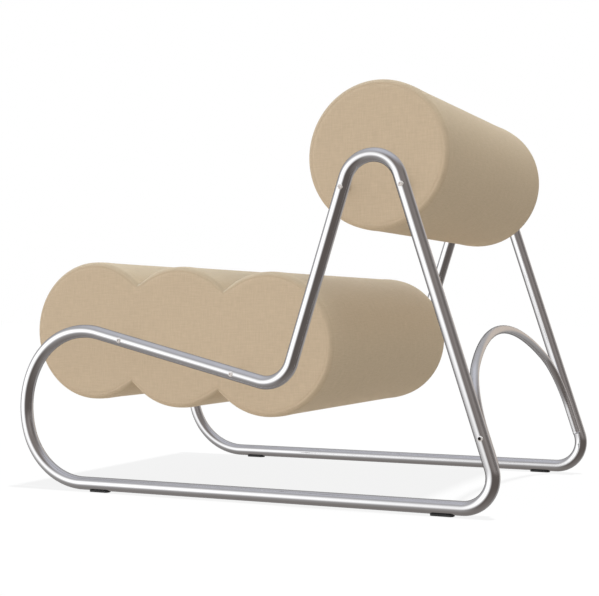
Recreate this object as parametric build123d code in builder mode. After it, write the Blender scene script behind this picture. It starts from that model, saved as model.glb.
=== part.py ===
from build123d import *
from math import acos, cos, degrees, radians, sin, tan
import os

# Lounge chair of two bent tube side frames, a seat of three merged rolls, one back roll and a rear hoop.
# Millimetres. +Z is up, the front faces -Y, +X is the sitter's left. The origin is on the floor, under the
# middle of the chair's width and depth.

os.makedirs("parts", exist_ok=True)

# Side frame: one closed loop of round tube on each side
tube_diameter = 25.0
tube_wall = 2.0
frame_spacing = 664.0  # between the centre planes of the two side frames
floor_rail_run = 836.6  # from the foot of the front loop to the corner of floor rail and rear leg
seat_rail_run = 429.8  # from the foot of the front loop to the corner of seat rail and strut
loop_corner_radius = 133.0
loop_front_radius = 168.0
loop_lower_turn = 72.0
loop_front_turn = 47.0
tight_bend_radius = 53.5  # seat bend, top arch and rear bend
seat_rail_slope = 13.8  # falls to the rear
strut_lean = 17.8
leg_lean = 18.0
joint_sleeve_length = 80.0
joint_sleeve_wall = 2.0
joint_sleeve_clearance = 0.1

# Glides under the floor rails
glide_length = 42.0
glide_width = 17.0
glide_height = 2.5  # from the floor to the underside of the tube
glide_lip = 1.5  # how far the saddle reaches up the sides of the tube
glide_corner_radius = 6.0
glide_edge_radius = 0.8
glide_saddle_clearance = 0.1
glide_peg_diameter = 8.0
glide_peg_reach = 6.0  # above the underside of the tube
glide_peg_clearance = 0.1
front_glide_station = 38.5  # behind the foot of the front loop
rear_glide_station = 108.5  # ahead of the corner of floor rail and rear leg

# Rear hoop between the rear legs; stations run up the leg from its corner with the floor rail
hoop_diameter = 16.0
hoop_wall = 1.5
hoop_leg_gap = 0.1
hoop_end_station = 78.0
hoop_spring_station = 132.0
hoop_corner_radius = 135.0
hoop_top_radius = 498.0
hoop_bolt_station = 126.0
hoop_plug_clearance = 0.1
hoop_plug_lip = 1.5  # the part of the plug that closes the end of the tube
hoop_bolt_tip_clearance = 2.0  # from the tip of the bolt to the far wall of the hoop

# Button-head bolts and what they screw into
bolt_diameter = 6.0
bolt_hole_clearance = 0.2
bolt_head_diameter = 10.5
bolt_head_height = 3.3
bolt_head_top_diameter = 5.6
bolt_socket_width = 4.0
bolt_socket_depth = 2.2
spot_face_diameter = 11.5
spot_face_depth = 1.3
spacer_diameter = 10.0
tee_nut_flange_diameter = 19.0
tee_nut_flange_thickness = 1.5
tee_nut_barrel_diameter = 8.0
tee_nut_barrel_length = 9.0
seat_front_bolt_station = 54.5  # down the seat rail from the end of the front loop
seat_rear_bolt_station = 302.5
back_bolt_drop = 18.0  # below the ends of the top arch, along strut and leg

# Rolls of the seat and the back
roll_radius = 133.0
roll_edge_radius = 10.0
seat_roll_setback = 8.5  # front roll axis behind the crown of the front loop
seat_roll_rise = 1.2  # front roll axis above the crown of the front loop
seat_roll_spacing = 187.6
seat_roll_slope = 3.57  # falls to the rear
back_roll_rise = 3.0  # back roll axis above the crown of the top arch
seat_side_gap = 3.5  # from the tube to the end panel
back_side_gap = 6.0
cloth_thickness = 1.2
soft_clearance = 0.3

# Wooden core inside each cushion
board_thickness = 12.0
board_inset = 14.0  # from the roll's surface to the rim of the end board
core_diameter = 50.0
screw_diameter = 5.0
screw_length = 60.0
screw_head_diameter = 10.0
screw_countersink_angle = 90.0

# Derived positions in the side view, as (y, z)
tube_radius = tube_diameter / 2
frame_x = frame_spacing / 2
rail_z = glide_height + tube_radius
loop_upper_turn = 180 + seat_rail_slope - loop_lower_turn - loop_front_turn
rear_bend_setback = tight_bend_radius * tan(radians((90 + leg_lean) / 2))
front_reach = loop_corner_radius * sin(radians(loop_lower_turn))
front_reach += loop_front_radius * (1 - sin(radians(loop_lower_turn)))
rear_reach = floor_rail_run - rear_bend_setback + tight_bend_radius
loop_foot_y = (front_reach - rear_reach) / 2
rear_corner_y = loop_foot_y + floor_rail_run

SIDES = {"left": 1, "right": -1}


def arc_shift(radius, start_heading, end_heading):
    """Shift (y, z) along an arc that turns clockwise from one heading to another, in degrees."""
    start = radians(start_heading)
    end = radians(end_heading)
    return radius * (sin(start) - sin(end)), radius * (cos(end) - cos(start))


def travel(point, heading, distance):
    """The point a distance away from another along a heading in degrees, 0 to the rear and 90 upwards."""
    return point[0] + distance * cos(radians(heading)), point[1] + distance * sin(radians(heading))


# End of the front loop, where the seat rail starts
loop_headings = [180.0, 180.0 - loop_lower_turn]
loop_headings.append(loop_headings[1] - loop_front_turn)
loop_headings.append(-seat_rail_slope)
loop_radii = [loop_corner_radius, loop_front_radius, loop_corner_radius]
loop_shifts = [arc_shift(loop_radii[i], loop_headings[i], loop_headings[i + 1]) for i in range(3)]
seat_rail_start = (
    loop_foot_y + sum(shift[0] for shift in loop_shifts),
    rail_z + sum(shift[1] for shift in loop_shifts),
)
crown_shift = arc_shift(loop_corner_radius, 0.0, -seat_rail_slope)
loop_crown = (seat_rail_start[0] - crown_shift[0], seat_rail_start[1] - crown_shift[1])

# Corners of the straight runs before they are bent
seat_corner_run = loop_foot_y + seat_rail_run - seat_rail_start[0]
seat_corner = travel(seat_rail_start, -seat_rail_slope, seat_corner_run / cos(radians(seat_rail_slope)))
rear_corner = (rear_corner_y, rail_z)
corner_gap = (rear_corner[0] - seat_corner[0], rear_corner[1] - seat_corner[1])
strut_heading = 90 - strut_lean
leg_heading = 90 + leg_lean  # up the leg, towards the front
arch_turn = strut_lean + leg_lean
strut_run = corner_gap[0] * cos(radians(leg_lean)) + corner_gap[1] * sin(radians(leg_lean))
strut_run = strut_run / sin(radians(arch_turn))
apex = travel(seat_corner, strut_heading, strut_run)
arch_setback = tight_bend_radius * tan(radians((180 - arch_turn) / 2))
arch_front_end = travel(apex, strut_heading, -arch_setback)
arch_rear_end = travel(apex, leg_heading, -arch_setback)
arch_crown_shift = arc_shift(tight_bend_radius, strut_heading, 0.0)
arch_crown = (arch_front_end[0] + arch_crown_shift[0], arch_front_end[1] + arch_crown_shift[1])

# Roll axes
front_roll = (loop_crown[0] + seat_roll_setback, loop_crown[1] + seat_roll_rise)
seat_rolls = {
    "front": front_roll,
    "middle": travel(front_roll, -seat_roll_slope, seat_roll_spacing),
    "rear": travel(front_roll, -seat_roll_slope, 2 * seat_roll_spacing),
}
back_rolls = {"back": (arch_crown[0], arch_crown[1] + back_roll_rise)}
seat_half_length = frame_x - tube_radius - seat_side_gap
back_half_length = frame_x - tube_radius - back_side_gap


def bolt_plane(side, point, heading):
    """Plane on a tube's axis, with z out of the chair along the bolt and x along the tube."""
    along_tube = (0, cos(radians(heading)), sin(radians(heading)))
    return Plane(origin=(side * frame_x, point[0], point[1]), x_dir=along_tube, z_dir=(side, 0, 0))


def bolt_planes(points_and_headings):
    """One bolt plane on each side for every point and tube heading."""
    return [bolt_plane(side, *item) for side in SIDES.values() for item in points_and_headings]


seat_bolt_points = [
    (travel(seat_rail_start, -seat_rail_slope, station), -seat_rail_slope)
    for station in (seat_front_bolt_station, seat_rear_bolt_station)
]
back_bolt_points = [
    (travel(arch_front_end, strut_heading, -back_bolt_drop), strut_heading),
    (travel(arch_rear_end, leg_heading, -back_bolt_drop), leg_heading),
]
hoop_bolt_points = [(travel(rear_corner, leg_heading, hoop_bolt_station), leg_heading)]
glide_stations = {
    "front": loop_foot_y + front_glide_station,
    "rear": rear_corner_y - rear_glide_station,
}


def save(part, name):
    """Label a finished piece and write its file."""
    part.label = name
    export_step(part, f"parts/{name}.step")


def make_side_frame(side):
    """Closed tube loop with spot-faced bolt holes and peg holes for the glides."""
    x = side * frame_x
    with BuildLine(Plane.YZ.offset(x)) as centre_line:
        lower_bend = JernArc((loop_foot_y, rail_z), (-1, 0), loop_corner_radius, -loop_lower_turn)
        front_bow = JernArc(lower_bend @ 1, lower_bend % 1, loop_front_radius, -loop_front_turn)
        JernArc(front_bow @ 1, front_bow % 1, loop_corner_radius, -loop_upper_turn)
        corners = [seat_rail_start, seat_corner, apex, rear_corner, (loop_foot_y, rail_z)]
        FilletPolyline(*corners, radius=tight_bend_radius)
    with BuildPart() as frame:
        with BuildSketch(Plane(origin=(x, loop_foot_y, rail_z), x_dir=(1, 0, 0), z_dir=(0, -1, 0))):
            Circle(tube_radius)
            Circle(tube_radius - tube_wall, mode=Mode.SUBTRACT)
        sweep(path=centre_line.wire())
        bolt_points = seat_bolt_points + back_bolt_points + hoop_bolt_points
        with Locations(*[bolt_plane(side, *item).offset(tube_radius) for item in bolt_points]):
            CounterBoreHole(
                radius=bolt_diameter / 2 + bolt_hole_clearance,
                counter_bore_radius=spot_face_diameter / 2,
                counter_bore_depth=spot_face_depth,
                depth=tube_diameter,
            )
        underside = [Plane((x, y, glide_height), (1, 0, 0), (0, 0, -1)) for y in glide_stations.values()]
        with Locations(*underside):
            Hole(radius=glide_peg_diameter / 2 + glide_peg_clearance, depth=tube_radius)
    return frame.part


def make_joint_sleeve(side):
    """Spigot inside the floor rail, half way along it, that carries the joint of the tube's two ends."""
    middle_y = (glide_stations["front"] + glide_stations["rear"]) / 2
    outer_radius = tube_radius - tube_wall - joint_sleeve_clearance
    with BuildPart() as sleeve:
        with BuildSketch(Plane((side * frame_x, middle_y, rail_z), (1, 0, 0), (0, -1, 0))):
            Circle(outer_radius)
            Circle(outer_radius - joint_sleeve_wall, mode=Mode.SUBTRACT)
        extrude(amount=joint_sleeve_length / 2, both=True)
    return sleeve.part


def make_glide(side, y):
    """Saddle glide that hugs the underside of the floor rail, with a peg into it."""
    x = side * frame_x
    with BuildPart() as glide:
        with BuildSketch(Plane((x, y, 0))):
            RectangleRounded(glide_width, glide_length, glide_corner_radius)
        extrude(amount=glide_height + glide_lip)
        fillet(glide.edges().group_by(Axis.Z)[0], glide_edge_radius)
        with BuildSketch(Plane((x, y, rail_z), (1, 0, 0), (0, -1, 0))):
            Circle(tube_radius + glide_saddle_clearance)
        extrude(amount=glide_length, both=True, mode=Mode.SUBTRACT)
        with BuildSketch(Plane((x, y, glide_height - glide_edge_radius))):
            Circle(glide_peg_diameter / 2)
        extrude(amount=glide_edge_radius + glide_peg_reach)
    return glide.part


hoop_half_width = frame_x - tube_radius - hoop_leg_gap - hoop_diameter / 2
hoop_corner_turn = acos((hoop_half_width - hoop_corner_radius) / (hoop_top_radius - hoop_corner_radius))
hoop_corner_turn = degrees(hoop_corner_turn)
leg_up = (0, cos(radians(leg_heading)), sin(radians(leg_heading)))
leg_plane = Plane(origin=(0, *rear_corner), x_dir=(1, 0, 0), z_dir=(0, -leg_up[2], leg_up[1]))


def make_rear_hoop():
    """Arch of thin tube in the plane of the rear legs, with a cross hole at each end for its bolt."""
    with BuildLine(leg_plane) as arch_line:
        left_leg = Line((hoop_half_width, hoop_end_station), (hoop_half_width, hoop_spring_station))
        left_corner = JernArc(left_leg @ 1, left_leg % 1, hoop_corner_radius, hoop_corner_turn)
        crown_turn = 180 - 2 * hoop_corner_turn
        crown = JernArc(left_corner @ 1, left_corner % 1, hoop_top_radius, crown_turn)
        right_corner = JernArc(crown @ 1, crown % 1, hoop_corner_radius, hoop_corner_turn)
        Line(right_corner @ 1, (-hoop_half_width, hoop_end_station))
    with BuildPart() as hoop:
        with BuildSketch(Plane(origin=left_leg @ 0, x_dir=(1, 0, 0), z_dir=leg_up)):
            Circle(hoop_diameter / 2)
            Circle(hoop_diameter / 2 - hoop_wall, mode=Mode.SUBTRACT)
        sweep(path=arch_line.wire())
        with Locations(*[plane.offset(-tube_radius) for plane in bolt_planes(hoop_bolt_points)]):
            Hole(radius=bolt_diameter / 2 + bolt_hole_clearance, depth=hoop_diameter / 2)
    return hoop.part


def make_hoop_end_plugs():
    """Plug in each end of the hoop, tapped for the hoop bolt and closing the tube with a thin lip."""
    start = hoop_end_station - hoop_plug_lip
    with BuildPart() as plugs:
        for side in SIDES.values():
            foot = travel(rear_corner, leg_heading, start)
            with BuildSketch(Plane((side * hoop_half_width, *foot), (1, 0, 0), leg_up)):
                Circle(hoop_diameter / 2)
            extrude(amount=hoop_plug_lip)
            with BuildSketch(Plane((side * hoop_half_width, *foot), (1, 0, 0), leg_up)):
                Circle(hoop_diameter / 2 - hoop_wall - hoop_plug_clearance)
            extrude(amount=hoop_spring_station - start)
        with Locations(*[plane.offset(-tube_radius) for plane in bolt_planes(hoop_bolt_points)]):
            Hole(radius=bolt_diameter / 2, depth=hoop_diameter)
    return plugs.part


def make_bolts(planes, grip):
    """Button-head socket bolts with their heads on the spot faces of the tubes."""
    with BuildPart() as bolt:
        with BuildSketch(Plane.XZ):
            with BuildLine():
                Polyline(
                    (0, bolt_head_height),
                    (0, -grip),
                    (bolt_diameter / 2, -grip),
                    (bolt_diameter / 2, 0),
                    (bolt_head_diameter / 2, 0),
                )
                crown_edge = (bolt_head_top_diameter / 2, bolt_head_height)
                RadiusArc((bolt_head_diameter / 2, 0), crown_edge, -bolt_head_diameter / 2)
                Line(crown_edge, (0, bolt_head_height))
            make_face()
        revolve(axis=Axis.Z)
        with BuildSketch(Plane.XY.offset(bolt_head_height)):
            RegularPolygon(bolt_socket_width / 2, 6, major_radius=False)
        extrude(amount=-bolt_socket_depth, mode=Mode.SUBTRACT)
    with BuildPart() as bolts:
        with Locations(*[plane.offset(tube_radius - spot_face_depth) for plane in planes]):
            add(bolt.part)
    return bolts.part


def make_spacers(planes, gap):
    """Sleeves on the bolts, flat against the end panel and saddle-shaped against the tube."""
    with BuildPart() as spacer:
        Cylinder(spacer_diameter / 2, gap + tube_radius, align=(Align.CENTER, Align.CENTER, Align.MIN))
        with Locations((0, 0, gap + tube_radius)):
            Cylinder(tube_radius, 2 * spacer_diameter, rotation=(0, 90, 0), mode=Mode.SUBTRACT)
        with Locations((0, 0, gap + tube_radius)):
            Hole(radius=bolt_diameter / 2 + bolt_hole_clearance, depth=gap + tube_radius)
    with BuildPart() as spacers:
        with Locations(*[plane.offset(-tube_radius - gap) for plane in planes]):
            add(spacer.part)
    return spacers.part


def make_tee_nuts(planes, gap):
    """Flanged nuts in the end boards, flange on the inner face of the board."""
    with BuildPart() as nut:
        Cylinder(
            tee_nut_flange_diameter / 2,
            tee_nut_flange_thickness,
            align=(Align.CENTER, Align.CENTER, Align.MAX),
        )
        Cylinder(
            tee_nut_barrel_diameter / 2,
            tee_nut_barrel_length,
            align=(Align.CENTER, Align.CENTER, Align.MIN),
        )
        with Locations((0, 0, tee_nut_barrel_length)):
            Hole(radius=bolt_diameter / 2)
    board_inside = tube_radius + gap + cloth_thickness + board_thickness
    with BuildPart() as nuts:
        with Locations(*[plane.offset(-board_inside) for plane in planes]):
            add(nut.part)
    return nuts.part


def end_plane(side, half_length):
    """Plane across the end of a cushion, with x to the rear and z outwards, so y is up on the left only."""
    return Plane(origin=(side * half_length, 0, 0), x_dir=(0, 1, 0), z_dir=(side, 0, 0))


def end_points(side, points):
    """Points (y, z) in the axes of an end plane."""
    return [(y, side * z) for y, z in points]


def roll_solid(axis_point, radius, half_length, edge_radius):
    """Add to the open part a cylinder across the chair with rounded ends."""
    y, z = axis_point
    with BuildSketch(Plane(origin=(0, y, z), x_dir=(1, 0, 0), z_dir=(0, -1, 0))) as half_section:
        Rectangle(2 * half_length, radius, align=(Align.CENTER, Align.MIN))
        fillet(half_section.vertices().group_by(Axis.Z)[-1], edge_radius)
    revolve(half_section.sketch, axis=Axis((0, y, z), (1, 0, 0)))


def trim_at_neighbours(name, rolls):
    """Cut the open part flat, half way from one roll to each roll beside it."""
    names = list(rolls)
    along_seat = (0, cos(radians(seat_roll_slope)), -sin(radians(seat_roll_slope)))
    if name != names[0]:
        front_cut = travel(rolls[name], -seat_roll_slope, -seat_roll_spacing / 2)
        split(bisect_by=Plane((0, *front_cut), (1, 0, 0), along_seat), keep=Keep.TOP)
    if name != names[-1]:
        rear_cut = travel(rolls[name], -seat_roll_slope, seat_roll_spacing / 2)
        split(bisect_by=Plane((0, *rear_cut), (1, 0, 0), along_seat), keep=Keep.BOTTOM)


def make_sleeve(name, rolls, half_length):
    """Fabric round one roll, drawn over its edges and open where the end panels are sewn in."""
    y, z = rolls[name]
    seam_radius = roll_radius - roll_edge_radius
    edge_x = half_length - roll_edge_radius
    inner_edge_radius = roll_edge_radius - cloth_thickness
    inner_x = half_length - cloth_thickness
    inner_radius = roll_radius - cloth_thickness
    with BuildPart() as sleeve:
        with BuildSketch(Plane(origin=(0, y, z), x_dir=(1, 0, 0), z_dir=(0, -1, 0))):
            with BuildLine():
                Line((-edge_x, roll_radius), (edge_x, roll_radius))
                CenterArc((edge_x, seam_radius), roll_edge_radius, 0, 90)
                Line((half_length, seam_radius), (inner_x, seam_radius))
                CenterArc((edge_x, seam_radius), inner_edge_radius, 0, 90)
                Line((edge_x, inner_radius), (-edge_x, inner_radius))
                CenterArc((-edge_x, seam_radius), inner_edge_radius, 90, 90)
                Line((-inner_x, seam_radius), (-half_length, seam_radius))
                CenterArc((-edge_x, seam_radius), roll_edge_radius, 90, 90)
            make_face()
        revolve(axis=Axis((0, y, z), (1, 0, 0)))
        trim_at_neighbours(name, rolls)
    return sleeve.part


def make_cover(rolls, half_length):
    """Fabric cover of a whole cushion, one sleeve to each roll, joined in the valleys between them."""
    sleeves = [make_sleeve(name, rolls, half_length) for name in rolls]
    with BuildPart() as cover:
        add(sleeves)
    return cover.part


def make_end_panel(side, rolls, half_length):
    """Flat fabric panel sewn into one end of a cover."""
    with BuildPart() as panel:
        with BuildSketch(end_plane(side, half_length)):
            with Locations(*end_points(side, rolls.values())):
                Circle(roll_radius - roll_edge_radius)
        extrude(amount=-cloth_thickness)
        with BuildSketch(end_plane(side, half_length)):
            bolts = back_bolt_points if rolls is back_rolls else seat_bolt_points
            with Locations(*end_points(side, [point for point, heading in bolts])):
                Circle(bolt_diameter / 2 + bolt_hole_clearance)
        extrude(amount=-cloth_thickness, mode=Mode.SUBTRACT)
    return panel.part


def make_end_board(side, rolls, half_length):
    """Plywood end board with holes for the tee nuts and countersunk holes for the core screws."""
    outer_face = end_plane(side, half_length - cloth_thickness)
    bolts = back_bolt_points if rolls is back_rolls else seat_bolt_points
    with BuildPart() as board:
        with BuildSketch(outer_face):
            with Locations(*end_points(side, rolls.values())):
                Circle(roll_radius - board_inset)
        extrude(amount=-board_thickness)
        with BuildSketch(outer_face):
            with Locations(*end_points(side, [point for point, heading in bolts])):
                Circle(tee_nut_barrel_diameter / 2)
        extrude(amount=-board_thickness, mode=Mode.SUBTRACT)
        face_x = side * (half_length - cloth_thickness)
        with Locations(*[Plane((face_x, *p), (0, 1, 0), (side, 0, 0)) for p in rolls.values()]):
            CounterSinkHole(
                radius=screw_diameter / 2,
                counter_sink_radius=screw_head_diameter / 2,
                depth=board_thickness,
                counter_sink_angle=screw_countersink_angle,
            )
    return board.part


def make_core(point, half_length):
    """Round wooden bar between the end boards, drilled at both ends for the core screws."""
    core_half_length = half_length - cloth_thickness - board_thickness
    with BuildPart() as core:
        with BuildSketch(Plane(origin=(0, *point), x_dir=(0, 1, 0), z_dir=(1, 0, 0))):
            Circle(core_diameter / 2)
        extrude(amount=core_half_length, both=True)
        for side in SIDES.values():
            with Locations(Plane((side * core_half_length, *point), (0, 1, 0), (side, 0, 0))):
                Hole(radius=screw_diameter / 2, depth=screw_length - board_thickness)
    return core.part


def make_core_screws(rolls, half_length):
    """Countersunk screws through both end boards into each core."""
    head_depth = (screw_head_diameter - screw_diameter) / 2 / tan(radians(screw_countersink_angle / 2))
    with BuildPart() as screw:
        with BuildSketch(Plane.XZ):
            with BuildLine():
                Polyline(
                    (0, 0),
                    (screw_head_diameter / 2, 0),
                    (screw_diameter / 2, -head_depth),
                    (screw_diameter / 2, -screw_length),
                    (0, -screw_length),
                    close=True,
                )
            make_face()
        revolve(axis=Axis.Z)
    face_x = half_length - cloth_thickness
    with BuildPart() as screws:
        for side in SIDES.values():
            with Locations(*[Plane((side * face_x, *p), (0, 1, 0), (side, 0, 0)) for p in rolls.values()]):
                add(screw.part)
    return screws.part


def make_foam(name, rolls, half_length):
    """Foam of one roll, glued flat to its neighbours, with room for core, boards and tee nuts."""
    soft_inset = cloth_thickness + soft_clearance
    bolts = back_bolt_points if rolls is back_rolls else seat_bolt_points
    with BuildPart() as foam:
        roll_solid(
            rolls[name],
            roll_radius - soft_inset,
            half_length - soft_inset,
            roll_edge_radius - soft_inset,
        )
        trim_at_neighbours(name, rolls)
        with BuildSketch(Plane(origin=(0, *rolls[name]), x_dir=(0, 1, 0), z_dir=(1, 0, 0))):
            Circle(core_diameter / 2 + soft_clearance)
        extrude(amount=half_length, both=True, mode=Mode.SUBTRACT)
        pocket_depth = cloth_thickness + board_thickness + soft_clearance
        for side in SIDES.values():
            with BuildSketch(end_plane(side, half_length)):
                with Locations(*end_points(side, rolls.values())):
                    Circle(roll_radius - board_inset + soft_clearance)
            extrude(amount=-pocket_depth, mode=Mode.SUBTRACT)
            with BuildSketch(end_plane(side, half_length)):
                with Locations(*end_points(side, [point for point, heading in bolts])):
                    Circle(tee_nut_flange_diameter / 2 + soft_clearance)
            extrude(amount=-pocket_depth - tee_nut_flange_thickness, mode=Mode.SUBTRACT)
    return foam.part


# Side frames, their joints and their glides
for side_name, side in SIDES.items():
    save(make_side_frame(side), f"{side_name}_side_frame")
    save(make_joint_sleeve(side), f"{side_name}_joint_sleeve")
    for end_name, station in glide_stations.items():
        save(make_glide(side, station), f"{end_name}_{side_name}_glide")

# Rear hoop and what fixes it
hoop_grip = tube_diameter - spot_face_depth + hoop_leg_gap + hoop_diameter - hoop_wall
hoop_grip -= hoop_bolt_tip_clearance
save(make_rear_hoop(), "rear_hoop")
save(make_hoop_end_plugs(), "hoop_end_plugs")
save(make_bolts(bolt_planes(hoop_bolt_points), hoop_grip), "hoop_bolts")

# Seat and back cushions with their fixings
cushions = {
    "seat": (seat_rolls, seat_half_length, seat_side_gap, seat_bolt_points),
    "back": (back_rolls, back_half_length, back_side_gap, back_bolt_points),
}
for cushion_name, (rolls, half_length, gap, bolt_points) in cushions.items():
    planes = bolt_planes(bolt_points)
    grip = tube_diameter - spot_face_depth + gap + cloth_thickness + board_thickness
    grip += tee_nut_flange_thickness
    save(make_bolts(planes, grip), f"{cushion_name}_bolts")
    save(make_spacers(planes, gap), f"{cushion_name}_spacers")
    save(make_tee_nuts(planes, gap), f"{cushion_name}_tee_nuts")
    save(make_core_screws(rolls, half_length), f"{cushion_name}_core_screws")
    save(make_cover(rolls, half_length), f"{cushion_name}_cover")
    for side_name, side in SIDES.items():
        save(make_end_panel(side, rolls, half_length), f"{cushion_name}_{side_name}_end_panel")
        save(make_end_board(side, rolls, half_length), f"{cushion_name}_{side_name}_end_board")
    for roll_name, roll_point in rolls.items():
        prefix = cushion_name if roll_name == cushion_name else f"{cushion_name}_{roll_name}"
        save(make_core(roll_point, half_length), f"{prefix}_core")
        save(make_foam(roll_name, rolls, half_length), f"{prefix}_foam")
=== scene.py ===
import bmesh
import bpy
import numpy as np
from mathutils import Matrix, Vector


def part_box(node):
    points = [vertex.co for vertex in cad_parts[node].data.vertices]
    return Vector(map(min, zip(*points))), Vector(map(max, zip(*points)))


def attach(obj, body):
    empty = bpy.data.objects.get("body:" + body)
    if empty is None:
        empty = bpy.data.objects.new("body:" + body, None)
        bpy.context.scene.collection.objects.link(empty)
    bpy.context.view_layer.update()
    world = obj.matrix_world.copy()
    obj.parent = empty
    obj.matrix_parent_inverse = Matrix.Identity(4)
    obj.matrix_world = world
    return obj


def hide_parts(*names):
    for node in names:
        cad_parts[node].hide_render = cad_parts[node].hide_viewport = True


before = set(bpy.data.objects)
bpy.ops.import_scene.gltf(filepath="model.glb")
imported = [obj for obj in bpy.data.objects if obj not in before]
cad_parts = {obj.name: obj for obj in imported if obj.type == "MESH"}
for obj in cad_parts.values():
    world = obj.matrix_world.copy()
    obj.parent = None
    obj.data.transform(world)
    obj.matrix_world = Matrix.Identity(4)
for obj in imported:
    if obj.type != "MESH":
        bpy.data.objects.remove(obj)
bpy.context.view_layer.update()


# Side frames
# Each side of the chair is one loop of round steel tube, bent cold and chrome plated: floor rail, front loop,
# seat rail, strut, top arch and rear leg. Its two ends butt on a sleeve inside the floor rail.

tube_radius = 0.0125
tube_sides = 64
floor_rail_run = 0.8366
seat_rail_run = 0.4298
loop_corner_radius = 0.133
loop_front_radius = 0.168
tight_bend_radius = 0.0535
loop_lower_turn = np.radians(72.0)
loop_front_turn = np.radians(47.0)
seat_rail_slope = np.radians(13.8)
strut_heading = np.radians(90.0 - 17.8)
leg_heading = np.radians(90.0 + 18.0)
bend_step = np.radians(2.0)
run_steps = 24
bolt_head_radius = 0.00525
spot_radius = 0.0028
spot_depth = 0.0015
spot_rings = np.arange(-0.0060, 0.0061, 0.0008)
crossing_steps = 20000


class Value:
    """An output of a node in a finish. Sums, products and comparisons of values add Math nodes."""

    def __init__(self, finish, socket):
        self.finish = finish
        self.socket = socket

    def other(self, output):
        """Another output of the same node."""
        return Value(self.finish, self.socket.node.outputs[output])

    def math(self, operation, *rest):
        """A Math node on this value and up to two more."""
        return self.finish.node("ShaderNodeMath", {"operation": operation}, dict(enumerate((self, *rest))))

    def __add__(self, other):
        return self.math("ADD", other)

    def __sub__(self, other):
        return self.math("SUBTRACT", other)

    def __rsub__(self, other):
        return self.finish.node("ShaderNodeMath", {"operation": "SUBTRACT"}, {0: other, 1: self})

    def __mul__(self, other):
        return self.math("MULTIPLY", other)

    __radd__ = __add__
    __rmul__ = __mul__

    def clamped(self):
        return self.finish.node("ShaderNodeClamp", {}, {"Value": self})


class Finish:
    """The node tree of a material or of the surroundings."""

    def __init__(self, owner):
        owner.use_nodes = True
        self.owner = owner
        self.tree = owner.node_tree
        self.tree.nodes.clear()

    def node(self, kind, settings, sockets, output=0):
        """One node: its settings first, then the values or links of its sockets. Returns one of its outputs."""
        made = self.tree.nodes.new(kind)
        for name, setting in settings.items():
            setattr(made, name, setting)
        for name, content in sockets.items():
            if isinstance(content, Value):
                self.tree.links.new(content.socket, made.inputs[name])
            else:
                made.inputs[name].default_value = content
        return Value(self, made.outputs[output]) if made.outputs else None

    def mixed(self, factor, first, second, blend="MIX"):
        """A colour between two colours."""
        settings = {"data_type": "RGBA", "blend_type": blend}
        return self.node("ShaderNodeMix", settings, {0: factor, 6: first, 7: second}, 2)

    def scaled(self, vector, factors):
        """A vector with each part multiplied by its own factor."""
        return self.node("ShaderNodeVectorMath", {"operation": "MULTIPLY"}, {0: vector, 1: factors})

    def noise(self, vector, scale, detail=2.0):
        """Smooth noise from 0 to 1."""
        return self.node("ShaderNodeTexNoise", {}, {"Vector": vector, "Scale": scale, "Detail": detail})

    def surface(self, **sockets):
        """The Principled shader as the material's surface. Sockets are named in lower case with underscores."""
        named = {name.replace("_", " ").title().replace("Ior", "IOR"): item for name, item in sockets.items()}
        shader = self.node("ShaderNodeBsdfPrincipled", {}, named)
        self.node("ShaderNodeOutputMaterial", {}, {"Surface": shader})
        return self.owner


def bend_tube(start, heading, stretches):
    """Centre line of a bent tube in its own plane, as complex numbers, with the heading at each point.

    A stretch has a length and a turn. It is cut into equal steps, and each step is a chord along its middle
    heading, as long as the step times the sine of its half turn over that half turn."""
    points = [np.array([start])]
    headings = [np.array([heading])]
    for length, turn in stretches:
        steps = max(run_steps, int(np.ceil(abs(turn) / bend_step)))
        along = headings[-1][-1] + np.linspace(0.0, turn, steps + 1)
        middles = (along[1:] + along[:-1]) / 2
        chord = length / steps * np.sinc(turn / steps / 2 / np.pi)
        points.append(points[-1][-1] + np.cumsum(chord * np.exp(1j * middles)))
        headings.append(along[1:])
    return np.concatenate(points), np.concatenate(headings)


def bend(radius, turn):
    """A stretch round an arc."""
    return radius * abs(turn), turn


def setback(turn):
    """How far a tight bend starts before its corner: radius times the tangent of the half turn."""
    return tight_bend_radius * np.tan(abs(turn) / 2)


def reach(gap, along, back):
    """How far along one heading two straight lines meet, from the gap between their starts."""
    toward, away = np.exp(1j * along), np.exp(1j * back)
    return (np.conj(gap) * away).imag / (np.conj(toward) * away).imag


def side_frame_line(foot):
    """The frame's centre line from the foot of the front loop, forwards and up, once round to that foot."""
    loop_upper_turn = np.pi + seat_rail_slope - loop_lower_turn - loop_front_turn
    loop = [
        bend(loop_corner_radius, -loop_lower_turn),
        bend(loop_front_radius, -loop_front_turn),
        bend(loop_corner_radius, -loop_upper_turn),
    ]
    seat_rail_start = bend_tube(foot, np.pi, loop)[0][-1]
    seat_rail = (seat_rail_run - (seat_rail_start - foot).real) / np.cos(seat_rail_slope)
    seat_corner = seat_rail_start + seat_rail * np.exp(-1j * seat_rail_slope)
    gap = foot + floor_rail_run - seat_corner
    strut = reach(gap, strut_heading, leg_heading)
    leg = reach(-gap, leg_heading, strut_heading)
    seat_turn = seat_rail_slope + strut_heading
    arch_turn = np.pi - leg_heading + strut_heading
    rear_turn = leg_heading
    return bend_tube(foot, np.pi, loop + [
        (seat_rail - setback(seat_turn), 0.0),
        bend(tight_bend_radius, seat_turn),
        (strut - setback(seat_turn) - setback(arch_turn), 0.0),
        bend(tight_bend_radius, -arch_turn),
        (leg - setback(arch_turn) - setback(rear_turn), 0.0),
        bend(tight_bend_radius, -rear_turn),
        (floor_rail_run - setback(rear_turn), 0.0),
    ])


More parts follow.
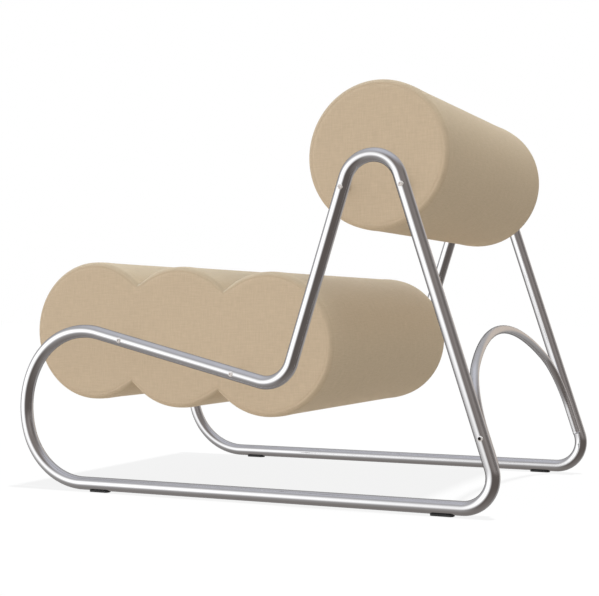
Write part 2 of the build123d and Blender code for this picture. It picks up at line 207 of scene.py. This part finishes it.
def bolt_axes():
    """Where the bolts cross a side frame, as complex numbers y + iz, from the corners of their boxes.

    A node's front bolt is never lower than its rear one, and the hoop's one bolt stands for both."""
    axes = []
    for low, high in map(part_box, ("seat_bolts", "back_bolts", "hoop_bolts")):
        axes.append(complex(low.y + bolt_head_radius, high.z - bolt_head_radius))
        axes.append(complex(high.y - bolt_head_radius, low.z + bolt_head_radius))
    return np.array(axes)


def ringed_at(axes, line, headings):
    """A centre line with closely spaced points added where bolts cross it.

    A bolt crosses at the length where the line comes nearest to its axis."""
    length = np.concatenate([[0.0], np.cumsum(np.abs(np.diff(line)))])
    fine = np.linspace(0.0, length[-1], crossing_steps)
    crossings = np.abs(np.interp(fine, length, line)[:, None] - axes).argmin(axis=0)
    places = np.union1d(length, fine[crossings][:, None] + spot_rings)
    return np.interp(places, length, line), np.interp(places, length, headings)


def spot_faced(points, axes, middle):
    """Tube points with a flat spot sunk under each bolt head, so that the tube doesn't fill its socket.

    A point on the outer side moves if it is nearer to a bolt's axis than the spot's radius."""
    outward = np.sign(middle)
    apart = np.abs((points[..., 1] + 1j * points[..., 2])[..., None] - axes).min(axis=-1)
    sunk = (apart < spot_radius) & (outward * (points[..., 0] - middle) > 0)
    points[..., 0] = np.where(sunk, middle + outward * (tube_radius - spot_depth), points[..., 0])
    return points


def tube_surface(centre, normal, across, radius):
    """Round tube: centre + radius * (cos(a) * normal + sin(a) * across), for angles a all the way round."""
    angles = np.linspace(0.0, 2 * np.pi, tube_sides, endpoint=False)[None, :, None]
    return centre[:, None] + radius * (np.cos(angles) * normal[:, None] + np.sin(angles) * across)


def grid_faces(rows, columns, closed=False):
    """Quads of a grid whose columns wrap round, and whose rows do too if it is closed."""
    row = np.arange(rows if closed else rows - 1)[:, None]
    column = np.arange(columns)[None, :]
    next_row, next_column = (row + 1) % rows, (column + 1) % columns
    corners = [(row, column), (row, next_column), (next_row, next_column), (next_row, column)]
    return np.stack([r * columns + c for r, c in corners], axis=-1).reshape(-1, 4)


def corner_places(grid):
    """Flat places (u, v) of the four corners of each quad, from a grid with one more row and column."""
    corners = [grid[:-1, :-1], grid[:-1, 1:], grid[1:, 1:], grid[1:, :-1]]
    return np.stack(corners, axis=2).reshape(-1, 4, 2)


def make_piece(name, points, faces, places):
    """A smooth mesh piece in its place, with a flat map of its surface in metres."""
    mesh = bpy.data.meshes.new(name)
    mesh.from_pydata(points.reshape(-1, 3).tolist(), [], faces)
    flat_map = mesh.uv_layers.new(name="flat")
    flat_map.data.foreach_set("uv", places.ravel().astype(np.float32))
    mesh.shade_smooth()
    piece = bpy.data.objects.new(name, mesh)
    bpy.context.scene.collection.objects.link(piece)
    return piece


def chrome_plate(name, tone, dullness):
    """Bright chrome over steel, with faint polishing lines along the tube and a slight unevenness."""
    finish = Finish(bpy.data.materials.new(name))
    flat = finish.node("ShaderNodeUVMap", {"uv_map": "flat"}, {})
    lines = finish.noise(finish.scaled(flat, (9.0, 2400.0, 1.0)), 1.0)
    clouds = finish.noise(finish.scaled(flat, (30.0, 30.0, 1.0)), 1.0)
    duller, brighter = tone - 0.04, tone + 0.04
    return finish.surface(
        base_color=finish.mixed(
            clouds, (duller, duller, duller + 0.01, 1.0), (brighter, brighter, brighter + 0.01, 1.0)
        ),
        metallic=1.0,
        roughness=dullness + 0.05 * lines + 0.04 * clouds,
    )


tube_chrome = chrome_plate("tube_chrome", tone=0.84, dullness=0.03)
loop_front = side_frame_line(0j)[0].real.min()
bolts_through = bolt_axes()
for side in ("left", "right"):
    low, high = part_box(f"{side}_side_frame")
    foot = complex(low.y + tube_radius - loop_front, low.z + tube_radius)
    line, headings = ringed_at(bolts_through, *side_frame_line(foot))
    line, headings = line[:-1], headings[:-1]
    middle = (low.x + high.x) / 2
    centre = np.stack([np.full(line.shape, middle), line.real, line.imag], axis=-1)
    normal = np.stack([0 * headings, -np.sin(headings), np.cos(headings)], axis=-1)
    points = tube_surface(centre, normal, np.array([1.0, 0.0, 0.0]), tube_radius)
    points = spot_faced(points, bolts_through, middle)
    steps = np.abs(np.diff(np.append(line, line[0])))
    length = np.concatenate([[0.0], np.cumsum(steps)])
    girth = np.linspace(0.0, 2 * np.pi * tube_radius, tube_sides + 1)
    places = corner_places(np.stack(np.meshgrid(length, girth, indexing="ij"), axis=-1))
    faces = grid_faces(len(line), tube_sides, closed=True).tolist()
    piece = make_piece(f"{side}_frame_tube", points, faces, places)
    piece.data.materials.append(tube_chrome)
    # The thin tubes leave no dark bands on the cloth beside them.
    piece.visible_diffuse = False
    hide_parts(f"{side}_side_frame")
    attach(piece, "root")


# Joint sleeves
# Short zinc-plated spigots inside the floor rails, pressed into the two butted ends of each tube loop.
# They hold the loop closed and can't be seen from outside.


def dress(names, finish, inside=False):
    """Give CAD pieces a finish. Those inside the cushions stay out of reflections, as the cushions do."""
    for name in names:
        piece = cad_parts[name]
        piece.visible_glossy = not inside
        for slot in piece.material_slots:
            slot.material = finish


def zinc_plate():
    """Dull zinc with the small bright and dark spangles of its crystals."""
    finish = Finish(bpy.data.materials.new("zinc_plate"))
    place = finish.node("ShaderNodeTexCoord", {}, {}, "Object")
    spangle = finish.node("ShaderNodeTexVoronoi", {}, {"Vector": place, "Scale": 420.0})
    clouds = finish.noise(place, 130.0)
    return finish.surface(
        base_color=finish.mixed(spangle, (0.52, 0.53, 0.54, 1.0), (0.66, 0.67, 0.68, 1.0)),
        metallic=1.0,
        roughness=0.3 + 0.2 * clouds,
    )


zinc = zinc_plate()
dress(("left_joint_sleeve", "right_joint_sleeve"), zinc)


# Glides
# Four saddles of black nylon, moulded to the underside of the floor rails, each with a peg pressed into the
# tube. The chair stands on their flat soles.


def black_nylon():
    """Moulded nylon with a fine spark-eroded grain, scuffed a little paler in places."""
    finish = Finish(bpy.data.materials.new("black_nylon"))
    place = finish.node("ShaderNodeTexCoord", {}, {}, "Object")
    grain = finish.noise(place, 1800.0)
    scuffs = finish.noise(place, 90.0, 4.0)
    bump = finish.node("ShaderNodeBump", {}, {"Strength": 0.35, "Distance": 0.0002, "Height": grain})
    return finish.surface(
        base_color=finish.mixed(scuffs, (0.010, 0.010, 0.011, 1.0), (0.030, 0.030, 0.031, 1.0)),
        roughness=0.45 + 0.2 * grain,
        normal=bump,
    )


nylon = black_nylon()
dress([f"{end}_{side}_glide" for end in ("front", "rear") for side in ("left", "right")], nylon)


# Rear hoop
# An arch of thinner chromed tube between the rear legs, in the slope of the legs. It lies against their inner
# sides and is bolted to each of them near its foot, into a plug that closes the end of the tube.

hoop_radius = 0.008
hoop_corner_radius = 0.135
hoop_top_radius = 0.498
hoop_straight = 0.054

low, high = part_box("rear_hoop")
leg_slope = leg_heading - np.pi / 2
hoop_half_width = (high.x - low.x) / 2 - hoop_radius
hoop_foot_y = high.y - hoop_radius * np.cos(leg_slope)
hoop_foot_z = low.z + hoop_radius * np.sin(leg_slope)
corner_turn = np.arccos((hoop_half_width - hoop_corner_radius) / (hoop_top_radius - hoop_corner_radius))
line, headings = bend_tube(complex(hoop_half_width, 0.0), np.pi / 2, [
    (hoop_straight, 0.0),
    bend(hoop_corner_radius, corner_turn),
    bend(hoop_top_radius, np.pi - 2 * corner_turn),
    bend(hoop_corner_radius, corner_turn),
    (hoop_straight, 0.0),
])


def up_the_legs(across, up):
    """Points from their places across the chair and up the slope of the rear legs."""
    return np.stack([across, -up * np.sin(leg_slope), up * np.cos(leg_slope)], axis=-1)


centre = up_the_legs(line.real, line.imag) + np.array([0.0, hoop_foot_y, hoop_foot_z])
normal = up_the_legs(-np.sin(headings), np.cos(headings))
out_of_slope = np.array([0.0, -np.cos(leg_slope), -np.sin(leg_slope)])
points = tube_surface(centre, normal, out_of_slope, hoop_radius)
length = np.concatenate([[0.0], np.cumsum(np.abs(np.diff(line)))])
girth = np.linspace(0.0, 2 * np.pi * hoop_radius, tube_sides + 1)
places = corner_places(np.stack(np.meshgrid(length, girth, indexing="ij"), axis=-1))
faces = grid_faces(len(line), tube_sides).tolist()
last_ring = (len(line) - 1) * tube_sides
faces.append(list(range(tube_sides)))
faces.append(list(range(last_ring + tube_sides - 1, last_ring - 1, -1)))
end_places = np.zeros((2 * tube_sides, 2))
piece = make_piece("hoop_tube", points, faces, np.concatenate([places.reshape(-1, 2), end_places]))
piece.data.materials.append(chrome_plate("hoop_chrome", tone=0.88, dullness=0.15))
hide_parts("rear_hoop")
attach(piece, "root")
dress(["hoop_end_plugs"], zinc)


# Cushion cores
# Inside each cushion, round beech bars run from end to end between two birch plywood boards. Countersunk
# screws hold them together, and tee nuts in the boards take the bolts from the frame.


def turned_beech():
    """Pale turned beech with grain along the bar and short dark flecks."""
    finish = Finish(bpy.data.materials.new("turned_beech"))
    place = finish.node("ShaderNodeTexCoord", {}, {}, "Object")
    grain = finish.noise(finish.scaled(place, (6.0, 140.0, 140.0)), 1.0, 4.0)
    flecks = finish.noise(finish.scaled(place, (150.0, 900.0, 900.0)), 1.0)
    wood = finish.mixed(grain, (0.50, 0.33, 0.18, 1.0), (0.68, 0.50, 0.32, 1.0))
    return finish.surface(
        base_color=finish.mixed(0.3 * flecks, wood, (0.36, 0.22, 0.12, 1.0)),
        roughness=0.55 + 0.2 * grain,
    )


def birch_plywood():
    """Birch plywood: a pale face with long grain, and thin plies that show in its rim."""
    finish = Finish(bpy.data.materials.new("birch_plywood"))
    place = finish.node("ShaderNodeTexCoord", {}, {}, "Object")
    grain = finish.noise(finish.scaled(place, (160.0, 7.0, 120.0)), 1.0, 4.0)
    through = finish.node("ShaderNodeSeparateXYZ", {}, {"Vector": place}, "X")
    plies = 0.5 + 0.5 * (2100.0 * through).math("SINE")
    veneer = finish.mixed(grain, (0.60, 0.45, 0.28, 1.0), (0.74, 0.60, 0.42, 1.0))
    return finish.surface(
        base_color=finish.mixed(0.35 * plies, veneer, (0.46, 0.31, 0.18, 1.0)),
        roughness=0.6 + 0.2 * grain,
    )


beech, birch = turned_beech(), birch_plywood()
dress(("seat_front_core", "seat_middle_core", "seat_rear_core", "back_core"), beech, inside=True)
for cushion in ("seat", "back"):
    dress((f"{cushion}_left_end_board", f"{cushion}_right_end_board"), birch, inside=True)
    dress((f"{cushion}_tee_nuts", f"{cushion}_core_screws"), zinc, inside=True)


# Seat cushion
# Three foam rolls side by side under one woven cover, drawn into a crease between the rolls. A flat panel of
# the same cloth is sewn into each end, over the end board, with the seam a finger's breadth inside the rim.

roll_radius = 0.133
rim_radius = 0.010
seam_depth = 0.0009
seam_width = 0.002
cell = 0.0080
panel_rings = 11
rim_turns = np.radians([14.0, 32.0, 50.0, 68.0, 84.0])
swell = 0.0025
stuffing_pressure = 150.0
cloth_mass = 0.02
cloth_stiffness = 2.0
crease_reach = 0.012
crease_fill = 0.4
crease_fill_reach = 0.015
sewn_reach = 0.020
crease_sharpness = 0.5
seam_sharpness = 0.6
stuffing_steps = 20
nothing = 1e-6
weld_distance = 1e-5
thread_pitch = 0.0012
# How much darker the cloth is painted round the rims: painted shade.
painted_rim_shade = 0.10


def roll_arcs(count, half_spacing, radii):
    """The free arc of each roll in a row, as (roll, first angle, last angle), once round the outline.

    An arc ends in the crease between two rolls, where the cosine of its angle is half the spacing over the
    radius."""
    if count == 1:
        return [(0, 0 * radii, 0 * radii + 2 * np.pi)]
    crease = np.arccos(half_spacing / radii)
    inner = range(1, count - 1)
    undersides = [(roll, np.pi + crease, 2 * np.pi - crease) for roll in inner]
    tops = [(roll, crease, np.pi - crease) for roll in reversed(inner)]
    last = (count - 1, np.pi + crease, 3 * np.pi - crease)
    first = (0, crease, 2 * np.pi - crease)
    return [*undersides, last, *tops, first]


def cushion_rings(half_length):
    """Rings from one end panel to the other, as place along the roll, roll radius and share of the panel.

    The rim is a quarter circle, the seam is its start, and the panel shrinks from the seam to the row of axes.
    Also returns the row of the first seam."""
    seam_radius = roll_radius - rim_radius
    inside = seam_radius - np.array([4.0, 1.0]) * seam_width
    panel = [(half_length, inside[0], share) for share in np.linspace(0.0, 1.0, panel_rings)]
    panel += [(half_length, inside[1], 1.0), (half_length - seam_depth, seam_radius, 1.0)]
    straight_end = half_length - rim_radius
    rim = [
        (straight_end + rim_radius * np.cos(turn), seam_radius + rim_radius * np.sin(turn), 1.0)
        for turn in rim_turns
    ]
    half = np.array(panel + rim)
    runs = int(np.ceil(2 * straight_end / cell))
    straight = np.linspace(-straight_end, straight_end, runs)
    body = np.stack([straight, np.full(runs, roll_radius), np.ones(runs)], axis=-1)
    return np.concatenate([half * np.array([-1.0, 1.0, 1.0]), body, half[::-1]]), len(panel) - 1


def roll_cushion(name, axes, half_length):
    """A cushion of merged rolls as a closed mesh, with its creases, seams and sewn parts marked, and a weight
    of painted shade round its rims.

    Each ring follows the arcs of the rolls, axis + radius * (cos(a) * row + sin(a) * up). A panel ring lies a
    share of the way from the row of axes to the seam, and the seam cuts the corner in each crease. The body
    starts thinner than it will be, by the swell, except near its creases and seams."""
    axes = np.array(axes)
    row = axes[-1] - axes[0] if len(axes) > 1 else np.array([1.0, 0.0])
    spacing = np.linalg.norm(row) / max(len(axes) - 1, 1)
    row = row / np.linalg.norm(row)
    up = np.array([-row[1], row[0]])
    rings, seam_row = cushion_rings(half_length)
    x, radii, share = rings.T
    nominal = roll_arcs(len(axes), spacing / 2, np.array([roll_radius]))
    cells = [int(np.ceil((last - first)[0] * roll_radius / cell / 2)) * 2 for _, first, last in nominal]
    outline, outward, from_crease = [], [], []
    for (roll, first, last), count in zip(roll_arcs(len(axes), spacing / 2, radii), cells):
        part = np.arange(count) / count
        angle = first[:, None] + (last - first)[:, None] * part
        direction = np.cos(angle)[..., None] * row + np.sin(angle)[..., None] * up
        outline.append(axes[roll] + radii[:, None, None] * direction)
        outward.append(direction)
        from_crease.append((last - first)[:, None] * np.minimum(part, 1 - part) * radii[:, None])
    outline, outward = np.concatenate(outline, axis=1), np.concatenate(outward, axis=1)
    from_crease = np.concatenate(from_crease, axis=1) if len(axes) > 1 else np.full(outline.shape[:2], 1.0)
    fill = crease_fill * np.exp(-((from_crease / crease_fill_reach) ** 2))
    outline = outline + fill[..., None] * (outline[len(x) // 2] - outline)
    along = np.clip((outline - axes[0]) @ row, 0.0, spacing * (len(axes) - 1))
    spine = axes[0] + along[..., None] * row
    from_seam = np.clip(half_length - rim_radius - np.abs(x), 0.0, None)[:, None] + 0 * from_crease
    free = (1 - np.exp(-from_crease / crease_reach)) * (1 - np.exp(-from_seam / sewn_reach))
    place = spine + (outline - spine) * share[:, None, None] - outward * (swell * free)[..., None]
    points = np.concatenate([np.broadcast_to(x[:, None, None], along.shape + (1,)), place], axis=-1)

    steps = np.hypot(np.diff(x), np.diff(radii))
    length = np.concatenate([[0.0], np.cumsum(steps)])
    round_turn = sum((last - first)[0] for _, first, last in nominal)
    girth = np.linspace(0.0, round_turn * roll_radius, along.shape[1] + 1)
    body_map = corner_places(np.stack(np.meshgrid(length, girth, indexing="ij"), axis=-1))
    wrapped = np.concatenate([place, place[:, :1]], axis=1)
    panel_map = corner_places(wrapped)
    face_row = np.repeat(np.arange(len(x) - 1), along.shape[1])
    on_panel = (face_row < seam_row) | (face_row >= len(x) - 1 - seam_row)
    places = np.where(on_panel[:, None, None], panel_map, body_map)
    piece = make_piece(name, points, grid_faces(*along.shape).tolist(), places)
    in_crease = from_crease < nothing
    # The rim weight, highest halfway round each rim, says where the cloth is painted darker as painted shade.
    to_end = np.minimum(np.arange(len(x)), np.arange(len(x))[::-1])
    rim_rows = seam_row + np.arange(len(rim_turns) + 2)
    rim = np.interp(to_end, rim_rows, [0.0, *np.sin(2 * rim_turns), 0.0])
    mark(piece.data, "crease", in_crease & (share == 1.0)[:, None])
    mark(piece.data, "seam", np.broadcast_to((to_end == seam_row)[:, None], in_crease.shape))
    mark(piece.data, "rim", np.broadcast_to(rim[:, None], in_crease.shape))
    mark(piece.data, "sewn", (np.abs(x) > half_length - rim_radius - nothing)[:, None] | in_crease)
    close_panels(piece.data)
    return piece


def mark(mesh, name, where):
    """Keep a mask or a weight of the points in the mesh, so that it lasts while points are merged."""
    marks = mesh.attributes.new(name, "FLOAT", "POINT")
    marks.data.foreach_set("value", where.ravel().astype(np.float32))


def marked(mesh, name):
    """Read a mask of the points back and take it off the mesh."""
    values = np.empty(len(mesh.vertices), np.float32)
    mesh.attributes[name].data.foreach_get("value", values)
    mesh.attributes.remove(mesh.attributes[name])
    return values > 0.5


def close_panels(mesh):
    """Merge the points of both panels that meet on the row of axes."""
    work = bmesh.new()
    work.from_mesh(mesh)
    bmesh.ops.remove_doubles(work, verts=work.verts, dist=weld_distance)
    work.to_mesh(mesh)
    work.free()


def point_places(mesh):
    """The places of a mesh's points as one array."""
    places = np.empty(len(mesh.vertices) * 3, np.float32)
    mesh.vertices.foreach_get("co", places)
    return places.reshape(-1, 3)


def stuff(piece):
    """Swell a cushion as cloth under pressure, held where it is sewn, then smooth it by one subdivision.

    A point moves by the swell at most. Creases and seams stay sharp edges in the subdivision."""
    mesh = piece.data
    creases, seams, sewn = marked(mesh, "crease"), marked(mesh, "seam"), marked(mesh, "sewn")
    group = piece.vertex_groups.new(name="sewn")
    group.add(np.flatnonzero(sewn).tolist(), 1.0, "REPLACE")
    cloth = piece.modifiers.new("stuffing", "CLOTH")
    cloth.settings.use_pressure = True
    cloth.settings.uniform_pressure_force = stuffing_pressure
    cloth.settings.mass = cloth_mass
    cloth.settings.tension_stiffness = cloth_stiffness
    cloth.settings.compression_stiffness = cloth_stiffness
    cloth.settings.vertex_group_mass = group.name
    cloth.settings.effector_weights.gravity = 0.0
    for step in range(stuffing_steps):
        bpy.context.scene.frame_set(step + 1)
    before = point_places(mesh)
    moved = point_places(piece.evaluated_get(bpy.context.evaluated_depsgraph_get()).data) - before
    piece.modifiers.remove(cloth)
    piece.vertex_groups.remove(group)
    bpy.context.scene.frame_set(1)
    distance = np.linalg.norm(moved, axis=1, keepdims=True)
    moved = moved * np.minimum(1.0, swell / np.maximum(distance, nothing))
    mesh.vertices.foreach_set("co", (before + moved).ravel())
    mesh.update()
    ends = np.empty(len(mesh.edges) * 2, np.int32)
    mesh.edges.foreach_get("vertices", ends)
    ends = ends.reshape(-1, 2)
    in_crease, in_seam = creases[ends].all(axis=1), seams[ends].all(axis=1)
    sharpness = np.maximum(crease_sharpness * in_crease, seam_sharpness * in_seam)
    sharp = mesh.attributes.new("crease_edge", "FLOAT", "EDGE")
    sharp.data.foreach_set("value", sharpness.astype(np.float32))
    smoothing = piece.modifiers.new("smoothing", "SUBSURF")
    smoothing.levels = smoothing.render_levels = 1


def beige_weave():
    """Plain woven wool cloth: warp and weft cross over and under, with thick and thin places in each thread.

    The product of the two threads' sine waves says which one is on top, and each is round across its width.
    Round the rims of a cushion the cloth is painted a little darker: painted shade that tones down the light
    there."""
    finish = Finish(bpy.data.materials.new("beige_weave"))
    flat = finish.node("ShaderNodeUVMap", {"uv_map": "flat"}, {})
    along = finish.node("ShaderNodeSeparateXYZ", {}, {"Vector": flat}, "X")
    warp = (np.pi / thread_pitch * along).math("SINE")
    weft = (np.pi / thread_pitch * along.other("Y")).math("SINE")
    over = (0.5 + 2.0 * (warp * weft)).clamped()
    warp_round, weft_round = warp.math("ABSOLUTE"), weft.math("ABSOLUTE")
    height = weft_round + over * (warp_round - weft_round)
    warp_slub = finish.noise(finish.scaled(flat, (420.0, 45.0, 1.0)), 1.0, 3.0)
    weft_slub = finish.noise(finish.scaled(flat, (45.0, 420.0, 1.0)), 1.0, 3.0)
    slub = 0.5 * (warp_slub + weft_slub)
    fuzz = finish.noise(flat, 5200.0)
    # Besides slubs and fuzz, the tone is darker where the threads dip: painted shade between them.
    tone = (0.5 + 1.5 * (slub - 0.5) + 0.25 * (height - 0.64) + 0.15 * (fuzz - 0.5)).clamped()
    cloth = finish.mixed(tone, (0.462, 0.362, 0.250, 1.0), (0.604, 0.478, 0.334, 1.0))
    # The rim weight paints the cloth darker round the rims of a cushion: painted shade.
    rim = finish.node("ShaderNodeAttribute", {"attribute_name": "rim"}, {}, "Fac")
    bump = finish.node(
        "ShaderNodeBump", {}, {"Strength": 0.5, "Distance": 0.0003, "Height": height + 0.6 * slub}
    )
    return finish.surface(
        base_color=finish.mixed(painted_rim_shade * rim, cloth, (0.0, 0.0, 0.0, 1.0)),
        roughness=0.82 + 0.12 * (1 - height),
        specular_ior_level=0.15,
        sheen_weight=0.05,
        sheen_roughness=0.5,
        normal=bump,
    )


def core_axes(names):
    """Where the axes of wooden cores cross the side view, as (y, z)."""
    corners = [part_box(name) for name in names]
    return [((low.y + high.y) / 2, (low.z + high.z) / 2) for low, high in corners]


weave = beige_weave()
seat_half_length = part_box("seat_left_end_panel")[1].x
seat_axes = core_axes(["seat_front_core", "seat_middle_core", "seat_rear_core"])
seat = roll_cushion("seat_cushion", seat_axes, seat_half_length)
stuff(seat)
seat.data.materials.append(weave)
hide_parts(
    "seat_cover", "seat_left_end_panel", "seat_right_end_panel",
    "seat_front_foam", "seat_middle_foam", "seat_rear_foam",
)
# The chrome shows the room and not the cushions.
seat.visible_glossy = False
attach(seat, "root")


# Back cushion
# One foam roll of the same size under the same woven cover, with a panel sewn into each end. It hangs between
# the top arches of the two side frames, bolted to both sides of each arch.

back_half_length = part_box("back_left_end_panel")[1].x
back = roll_cushion("back_cushion", core_axes(["back_core"]), back_half_length)
stuff(back)
back.data.materials.append(weave)
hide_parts("back_cover", "back_left_end_panel", "back_right_end_panel", "back_foam")
back.visible_glossy = False
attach(back, "root")


# Bolts and spacers
# Plated socket-head bolts pass through the tubes into the cushions and the hoop. Black nylon sleeves on the
# bolts keep the cushions clear of the tubes.

painted_socket_shade_radius = 0.0029
painted_socket_shade_edge = 0.0004


def step_between(finish, value, start, end):
    """0 before one value, 1 after another, and smooth between them."""
    sockets = {"Value": value, "From Min": start, "From Max": end}
    return finish.node("ShaderNodeMapRange", {"interpolation_type": "SMOOTHSTEP"}, sockets)


def bolt_plate(name, socket=None):
    """Pale satin plating, warmer than the tubes. A socket on an axis at (y, z) is painted dark inside, as
    painted shade in its recess.
    """
    finish = Finish(bpy.data.materials.new(name))
    place = finish.node("ShaderNodeTexCoord", {}, {}, "Object")
    clouds = finish.noise(place, 400.0)
    plate = finish.mixed(clouds, (0.84, 0.80, 0.78, 1.0), (0.94, 0.90, 0.88, 1.0))
    if socket:
        sockets = {0: finish.scaled(place, (0.0, 1.0, 1.0)), 1: (0.0, *socket)}
        from_axis = finish.node("ShaderNodeVectorMath", {"operation": "DISTANCE"}, sockets, "Value")
        rim = step_between(finish, from_axis, painted_socket_shade_radius - painted_socket_shade_edge, painted_socket_shade_radius + painted_socket_shade_edge)
        # Painted shade: the socket's recess is painted nearly black.
        plate = finish.mixed(rim, (0.012, 0.008, 0.007, 1.0), plate)
    return finish.surface(base_color=plate, metallic=0.35, roughness=0.38 + 0.1 * clouds)


low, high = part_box("hoop_bolts")
hoop_bolt_axis = ((low.y + high.y) / 2, (low.z + high.z) / 2)
dress(("seat_bolts", "back_bolts"), bolt_plate("cushion_bolt_plate"))
dress(["hoop_bolts"], bolt_plate("hoop_bolt_plate", hoop_bolt_axis))
dress(("seat_spacers", "back_spacers"), nylon)


# Studio
# A white floor and backdrop, with soft boxes for the cloth overhead, in front, behind and below. One lamp only
# draws the chair's shadow on the floor. The chrome sees a dim room with a white box at the chair's front left.


def facing(turn, rise):
    """Direction from a turn about the upright and a rise, in degrees. 0 is the chair's left, -90 its front."""
    turn, rise = np.radians([turn, rise])
    return Vector((np.cos(rise) * np.cos(turn), np.cos(rise) * np.sin(turn), np.sin(rise)))


# Each soft box has a middle, the cosine at its edge and a colour.
soft_boxes = [
    (facing(0.0, 90.0), 0.80, (2.35, 2.46, 2.38, 1.0)),
    (facing(0.0, -90.0), 0.50, (1.21, 1.17, 1.05, 1.0)),
    (facing(-90.0, 60.0), 0.75, (1.08, 1.60, 2.18, 1.0)),
    (facing(-30.0, 0.0), 0.30, (1.74, 1.69, 1.67, 1.0)),
    (facing(-150.0, 0.0), 0.30, (1.74, 1.69, 1.67, 1.0)),
    (facing(90.0, 30.0), 0.75, (2.71, 2.73, 2.68, 1.0)),
]
white_box = facing(-51.0, 0.0)
box_side = facing(-20.0, 0.0)
box_bottom, box_top = (-0.52, 0.03), (0.80, 0.36)
box_front_edge, box_side_edge = (0.50, 1.05), (0.15, 0.60)
box_colour = (1.42, 1.42, 1.42, 1.0)
dim_side = facing(59.0, 0.0)
dim_edge = (0.50, 0.10)
horizon, low_edge, ceiling_edge = (0.14, -0.07), (-0.30, -1.09), (0.635, 1.10)
dim_wall, pale_wall = (0.222, 0.198, 0.188, 1.0), (0.405, 0.400, 0.410, 1.0)
dim_ground, pale_ground = (0.118, 0.102, 0.094, 1.0), (0.345, 0.335, 0.333, 1.0)
dim_nadir, pale_ceiling = (0.200, 0.182, 0.172, 1.0), (0.575, 0.580, 0.640, 1.0)
black, white = (0.0, 0.0, 0.0, 1.0), (1.0, 1.0, 1.0, 1.0)
# Each patch on the walls has a middle, the cosines at its edge and where it is full, its share and its colour.
wall_patches = [
    (facing(53.0, 14.0), 0.965, 1.0, 0.25, (0.405, 0.380, 0.370, 1.0)),
    (facing(95.0, 20.0), 0.92, 1.0, 0.30, black),
    (facing(172.0, 10.0), 0.88, 0.985, 1.0, (0.600, 0.520, 0.455, 1.0)),
    (facing(-148.0, -5.0), 0.80, 0.96, 1.0, (0.070, 0.063, 0.060, 1.0)),
]
shadow_tint = (0.011, 0.011, 0.011, 1.0)
floor_glow = 0.885
floor_half = 30.0
overhead_lean = np.radians(9.0)
overhead_strength = 30.0
overhead_width = np.radians(4.0)


def studio_surroundings(world):
    """White backdrop for the camera, soft boxes for cloth, and a dim room with one bright box for chrome."""
    finish = Finish(world)
    direction = finish.node("ShaderNodeTexCoord", {}, {}, "Generated")
    height = finish.node("ShaderNodeSeparateXYZ", {}, {"Vector": direction}, "Z")

    def glow(middle, edge, full=1.0):
        """How near a direction is to the middle of a soft patch, by the cosine of the angle between them."""
        sockets = {0: direction, 1: middle}
        cosine = finish.node("ShaderNodeVectorMath", {"operation": "DOT_PRODUCT"}, sockets, "Value")
        return step_between(finish, cosine, edge, full)

    pale_side = glow(dim_side, *dim_edge)
    walls = finish.mixed(pale_side, dim_wall, pale_wall)
    ground = finish.mixed(pale_side, dim_ground, pale_ground)
    room = finish.mixed(step_between(finish, height, *horizon), walls, ground)
    for middle, edge, full, share, colour in wall_patches:
        room = finish.mixed(share * glow(middle, edge, full), room, colour)
    room = finish.mixed(step_between(finish, height, *low_edge), room, dim_nadir)
    room = finish.mixed(step_between(finish, height, *ceiling_edge), room, pale_ceiling)
    box_height = step_between(finish, height, *box_bottom) * step_between(finish, height, *box_top)
    box_front = glow(white_box, *box_front_edge) * glow(box_side, *box_side_edge)
    chrome_sees = finish.mixed(box_front * box_height, room, box_colour)
    cloth_sees = black
    for middle, edge, colour in soft_boxes:
        cloth_sees = finish.mixed(1.0, cloth_sees, finish.mixed(glow(middle, edge), black, colour), "ADD")
    ray = finish.node("ShaderNodeLightPath", {}, {}, "Is Camera Ray")
    seen = finish.mixed(ray.other("Is Glossy Ray"), cloth_sees, chrome_sees)
    backdrop = ray.math("MAXIMUM", ray.other("Is Transmission Ray"))
    colour = finish.mixed(backdrop, seen, white)
    shader = finish.node("ShaderNodeBackground", {}, {"Color": colour, "Strength": 1.0})
    finish.node("ShaderNodeOutputWorld", {}, {"Surface": shader})


def white_floor():
    """White floor that shows a faint shadow to the camera."""
    finish = Finish(bpy.data.materials.new("white_floor"))
    lit = finish.node("ShaderNodeBsdfDiffuse", {}, {"Color": shadow_tint})
    glow = finish.node("ShaderNodeEmission", {}, {"Color": white, "Strength": floor_glow})
    surface = finish.node("ShaderNodeAddShader", {}, {0: lit, 1: glow})
    finish.node("ShaderNodeOutputMaterial", {}, {"Surface": surface})
    return finish.owner


studio = bpy.data.worlds.new("studio")
studio_surroundings(studio)
bpy.context.scene.world = studio

floor_corners = np.array([(-1, -1, 0), (1, -1, 0), (1, 1, 0), (-1, 1, 0)]) * floor_half
floor = make_piece("floor", floor_corners, [[0, 1, 2, 3]], floor_corners[:, :2])
floor.data.materials.append(white_floor())
# The floor sends no light and no reflection back to the chair, which the soft box below stands for.
floor.visible_diffuse = False
floor.visible_glossy = False

overhead = bpy.data.objects.new("overhead", bpy.data.lights.new("overhead", "SUN"))
overhead.data.energy = overhead_strength
overhead.data.angle = overhead_width
overhead.rotation_euler = (-overhead_lean, 0.0, 0.0)
overhead.visible_glossy = False
on_floor = bpy.data.collections.new("on_floor")
on_floor.objects.link(floor)
overhead.light_linking.receiver_collection = on_floor
bpy.context.scene.collection.objects.link(overhead)

camera_place = Vector((2.38995, 1.07667, 0.34316))
camera_turn = np.radians(24.926)
camera_tilt = np.radians(0.697)
camera_lens = 76.34
sight = Vector((
    -np.cos(camera_turn) * np.cos(camera_tilt),
    -np.sin(camera_turn) * np.cos(camera_tilt),
    np.sin(camera_tilt),
))
camera = bpy.data.objects.new("camera", bpy.data.cameras.new("camera"))
camera.location = camera_place
camera.rotation_euler = sight.to_track_quat("-Z", "Y").to_euler()
camera.data.sensor_width = 36.0
camera.data.lens = camera_lens
bpy.context.scene.collection.objects.link(camera)
bpy.context.scene.camera = camera
bpy.context.scene.view_settings.view_transform = "Standard"
